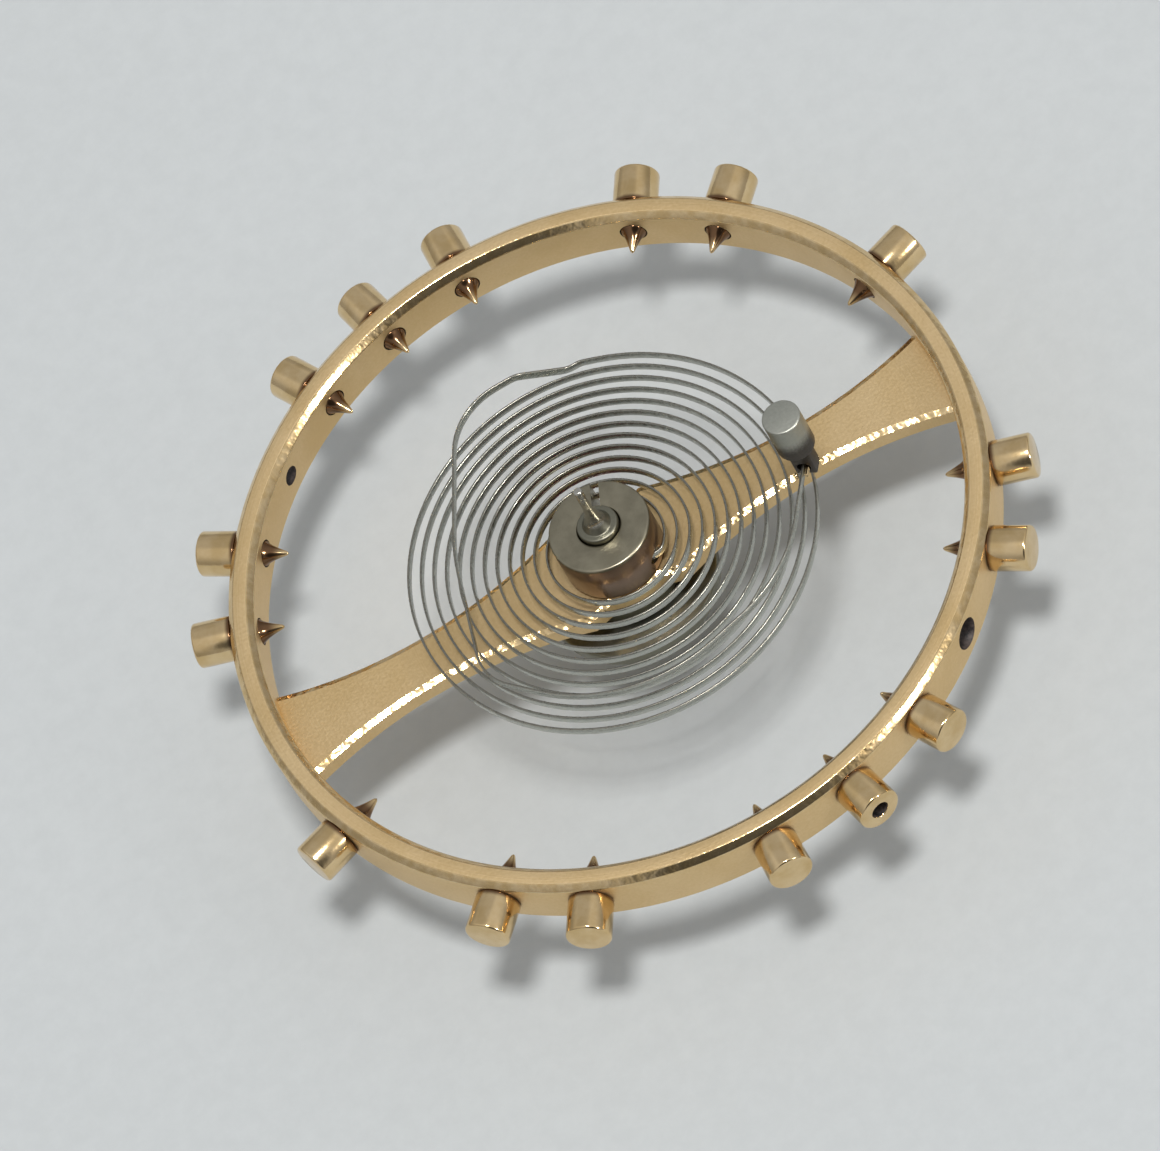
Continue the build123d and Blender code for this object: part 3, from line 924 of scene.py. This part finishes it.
class Ribbon:
    """A ribbon that grows from one end by straight runs and bends, with its length counted along it."""

    def __init__(self, start, direction):
        self.bm = bmesh.new()
        self.length_layer = self.bm.verts.layers.float.new("length_along")
        self.length = 0.0
        self.start = start.copy()
        self.point = start.copy()
        self.direction = direction.normalized()
        self.first_direction = self.direction.copy()
        side = self.direction.cross(UP)
        corners = [
            self.point + side * across * SPRING_THICKNESS / 2 + UP * lift * SPRING_HEIGHT / 2
            for across, lift in ((-1, -1), (1, -1), (1, 1), (-1, 1))
        ]
        face = self.bm.faces.new([self.bm.verts.new(corner) for corner in corners])
        bmesh.ops.bevel(
            self.bm,
            geom=list(face.verts),
            offset=SPRING_EDGE_ROUNDING,
            affect="VERTICES",
            segments=2,
            profile=0.5,
            material=-1,
        )
        bmesh.ops.delete(self.bm, geom=list(self.bm.faces), context="FACES_ONLY")
        self.first_loop = list(self.bm.edges)
        self.ring_size = len(self.bm.verts)
        self.end = list(self.bm.verts) + list(self.bm.edges)

    def _count(self, before, length_of_ring):
        """Writes the length reached into each new vertex, ring by ring."""
        self.bm.verts.ensure_lookup_table()
        for index in range(before, len(self.bm.verts)):
            ring = (index - before) // self.ring_size + 1
            self.bm.verts[index][self.length_layer] = self.length + ring * length_of_ring

    def run(self, length):
        """A straight run."""
        before = len(self.bm.verts)
        edges = [item for item in self.end if isinstance(item, bmesh.types.BMEdge)]
        self.end = bmesh.ops.extrude_edge_only(self.bm, edges=edges)["geom"]
        verts = [item for item in self.end if isinstance(item, bmesh.types.BMVert)]
        edges = {edge for vert in verts for edge in vert.link_edges}
        self.end = verts + [edge for edge in edges if all(vert in verts for vert in edge.verts)]
        bmesh.ops.translate(self.bm, vec=self.direction * length, verts=verts)
        self._count(before, length)
        self.length += length
        self.point = self.point + self.direction * length

    def bend(self, centre, axis, degrees):
        """An arc about a centre and an axis."""
        rings = max(3, math.ceil(degrees / DEGREES_PER_RING))
        angle = math.radians(degrees)
        length = angle * (self.point - centre).length
        before = len(self.bm.verts)
        grown = bmesh.ops.spin(
            self.bm, geom=self.end, cent=centre, axis=axis, angle=angle, steps=rings, use_merge=False
        )["geom_last"]
        verts = [item for item in grown if isinstance(item, bmesh.types.BMVert)]
        self.end = verts + [item for item in grown if isinstance(item, bmesh.types.BMEdge)]
        self._count(before, length / rings)
        self.length += length
        turn = Matrix.Rotation(angle, 3, axis)
        self.point = centre + turn @ (self.point - centre)
        self.direction = turn @ self.direction

    def follow(self, corners, radii):
        """Straight runs towards corners, joined by bends of the given radii, to the last point."""
        for corner, after, radius in zip(corners, corners[1:], radii):
            arriving = (corner - self.point).normalized()
            leaving = (after - corner).normalized()
            angle = arriving.angle(leaving)
            self.direction = arriving
            self.run((corner - self.point).length - radius * math.tan(angle / 2))
            axis = arriving.cross(leaving).normalized()
            self.bend(self.point + axis.cross(arriving) * radius, axis, math.degrees(angle))
        self.run((corners[-1] - self.point).length)

    def close(self):
        """Caps both ends."""
        last_loop = [item for item in self.end if isinstance(item, bmesh.types.BMEdge)]
        bmesh.ops.holes_fill(self.bm, edges=self.first_loop + last_loop, sides=self.ring_size)


def make_hairspring():
    """Dogleg in the collet, flat coil of half turns about two centres, elbow and overcoil."""
    shift = SPRING_PITCH / 4
    first_centre = Vector((shift, 0, SPRING_MIDDLE))
    first_radius = SPRING_FIRST_RADIUS + shift - SPRING_PITCH / 2
    coil_start = first_centre + polar(first_radius, SPRING_START_ANGLE)
    tangent = polar(1.0, SPRING_START_ANGLE + 90)
    corner = coil_start - tangent * DOGLEG_RADIUS * math.tan(math.radians(DOGLEG_TURN) / 2)
    inward = Matrix.Rotation(-math.radians(DOGLEG_TURN), 3, "Z") @ tangent
    ribbon = Ribbon(corner - inward * SPRING_IN_COLLET, inward)
    reach = DOGLEG_RADIUS * math.tan(math.radians(DOGLEG_TURN) / 2)
    ribbon.run(SPRING_IN_COLLET - reach)
    ribbon.bend(ribbon.point + UP.cross(inward) * DOGLEG_RADIUS, UP, DOGLEG_TURN)
    last = 2 * SPRING_WHOLE_TURNS
    for half in range(-1, last + 1):
        centre = Vector((shift if half % 2 else -shift, 0, SPRING_MIDDLE))
        start = SPRING_START_ANGLE if half < 0 else half * 180
        end = SPRING_END_ANGLE + half * 180 if half == last else (half + 1) * 180
        ribbon.bend(centre, UP, end - start)
    lead = ribbon.point + ribbon.direction * ELBOW_LEAD
    corners = [
        polar(SPRING_OUTER_RADIUS * share, angle, OVERCOIL_MIDDLE) for share, angle in OVERCOIL_CORNERS
    ]
    across = Vector((corners[0].x - lead.x, corners[0].y - lead.y, 0)).normalized()
    foot = lead + across * ELBOW_FLAT
    head = foot + across * ELBOW_RUN + UP * (OVERCOIL_MIDDLE - SPRING_MIDDLE)
    stud = polar(STUD_RADIUS_OUT, STUD_ANGLE, OVERCOIL_MIDDLE)
    past = (stud - corners[-1]).normalized() * SPRING_PAST_STUD
    bends = [SPRING_OUTER_RADIUS * share for share in OVERCOIL_BENDS]
    ribbon.follow(
        [lead, foot, head] + corners + [stud + past],
        [ELBOW_TURN_RADIUS, ELBOW_BEND_RADIUS, ELBOW_BEND_RADIUS] + bends,
    )
    ribbon.close()
    return ribbon


def finish_hairspring(ribbon):
    """The spring twists about the staff: each point turns by its share of the length from the stud."""
    ribbon.bm.normal_update()
    # Faces that look up or down take the edge material, with its painted shade
    for face in ribbon.bm.faces:
        if abs(face.normal.z) > RIBBON_EDGE_LIFT:
            face.material_index = 1
    spring = make_object("hairspring_coiled", ribbon.bm, [SPRING_STEEL, SPRING_EDGE])
    smooth(spring, 50.0)
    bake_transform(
        spring,
        "stud_and_spring",
        "collet",
        start=(0, 0, SPRING_MIDDLE * MM),
        end=(SPRING_OUTER_RADIUS * MM, 0, SPRING_MIDDLE * MM),
    )
    along = spring.data.attributes["length_along"]
    share = spring.data.attributes["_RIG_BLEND"]
    for point, length in zip(share.data, along.data):
        point.value = 1 - length.value / ribbon.length
    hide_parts("hairspring")


# Floor, light and camera


def paper(graph):
    """Pale paper with faint flecks."""
    place = graph.place()
    fleck = graph.noise(place, 3.0, 5.0, 0.7)
    cloud = graph.noise(place, 0.15, 2.0)
    tone = 0.7 * fleck + 0.3 * cloud
    return {
        "Base Color": graph.blend(
            tone.smoothstep(0.3, 0.7), colour(0.572, 0.597, 0.605), colour(0.606, 0.632, 0.640)
        ),
        "Roughness": 0.85 + 0.05 * fleck,
    }


def make_floor():
    """A wide level sheet under the wheel."""
    bm = bmesh.new()
    bmesh.ops.create_grid(bm, x_segments=1, y_segments=1, size=FLOOR_SIZE)
    floor = make_object("paper_floor", bm, [new_material("pale paper", paper)])


def make_world():
    """A pale ceiling over a dimmer room, with two dim stretches that the metal mirrors."""
    world = bpy.data.worlds.new("studio")
    bpy.context.scene.world = world
    world.use_nodes = True
    graph = Graph(world.node_tree)
    direction = graph.add("ShaderNodeTexCoord", output="Generated")
    height = graph.add("ShaderNodeSeparateXYZ", None, {"Vector": direction}, output="Z")
    sky = HORIZON + (ZENITH - HORIZON) * height.smoothstep(*CEILING_RISE)
    above = 1.0 - ABOVE_DIMMING * graph.towards(direction, MIRROR_OF_LEVEL_FACES, 0.80, 0.95)
    front = 1.0 - FRONT_DIMMING * graph.towards(direction, BEHIND_THE_CAMERA, 0.84, 0.95)
    inputs = {"Color": colour(0.97, 0.985, 1.0), "Strength": sky * above * front}
    light = graph.add("ShaderNodeBackground", None, inputs)
    graph.add("ShaderNodeOutputWorld", None, {"Surface": light})


def make_lamp(name, direction, size, power, tint, lights_the_floor=True):
    """A round soft lamp that faces the wheel. One that doesn't light the floor shows in glints alone."""
    lamp = bpy.data.lights.new(name, "AREA")
    lamp.shape = "DISK"
    lamp.size = size * MM
    lamp.energy = power
    lamp.color = tint
    stand = bpy.data.objects.new(name, lamp)
    aim_from = Vector(direction).normalized()
    stand.location = (aim_from * LAMP_DISTANCE + UP * RIM_MIDDLE) * MM
    stand.rotation_mode = "QUATERNION"
    stand.rotation_quaternion = aim_from.to_track_quat("Z", "Y")
    stand.visible_diffuse = lights_the_floor
    bpy.context.scene.collection.objects.link(stand)


def make_camera():
    """The photograph's viewpoint, from the fit of the screws' ends."""
    camera = bpy.data.cameras.new("camera")
    camera.sensor_width = CAMERA_SENSOR_WIDTH
    camera.lens = CAMERA_LENS
    camera.clip_start = 0.01
    camera.clip_end = 10.0
    stand = bpy.data.objects.new("camera", camera)
    turn = Matrix((CAMERA_RIGHT, CAMERA_UP, CAMERA_BACK)).transposed()
    stand.matrix_world = Matrix.Translation(Vector(CAMERA_PLACE) * MM) @ turn.to_4x4()
    bpy.context.scene.collection.objects.link(stand)
    bpy.context.scene.camera = stand


bpy.context.scene.view_settings.view_transform = "Standard"
make_camera()
make_world()
make_floor()
make_lamp(
    "overhead_lamp", direction=(0.05, -0.24, 0.97), size=54.0, power=0.50, tint=(1.0, 0.99, 0.97)
)
make_lamp(
    "glint_lamp",
    direction=(0.61, -0.61, 0.51),
    size=14.0,
    power=0.50,
    tint=(1.0, 0.97, 0.92),
    lights_the_floor=False,
)

make_wheel()
for number, angle in enumerate(screw_angles(), start=1):
    make_screw(number, angle)
make_staff()
make_rollers()
make_jewel()
spring_ribbon = make_hairspring()
make_collet(spring_ribbon)
make_stud(spring_ribbon)
finish_hairspring(spring_ribbon)

bpy.context.view_layer.update()
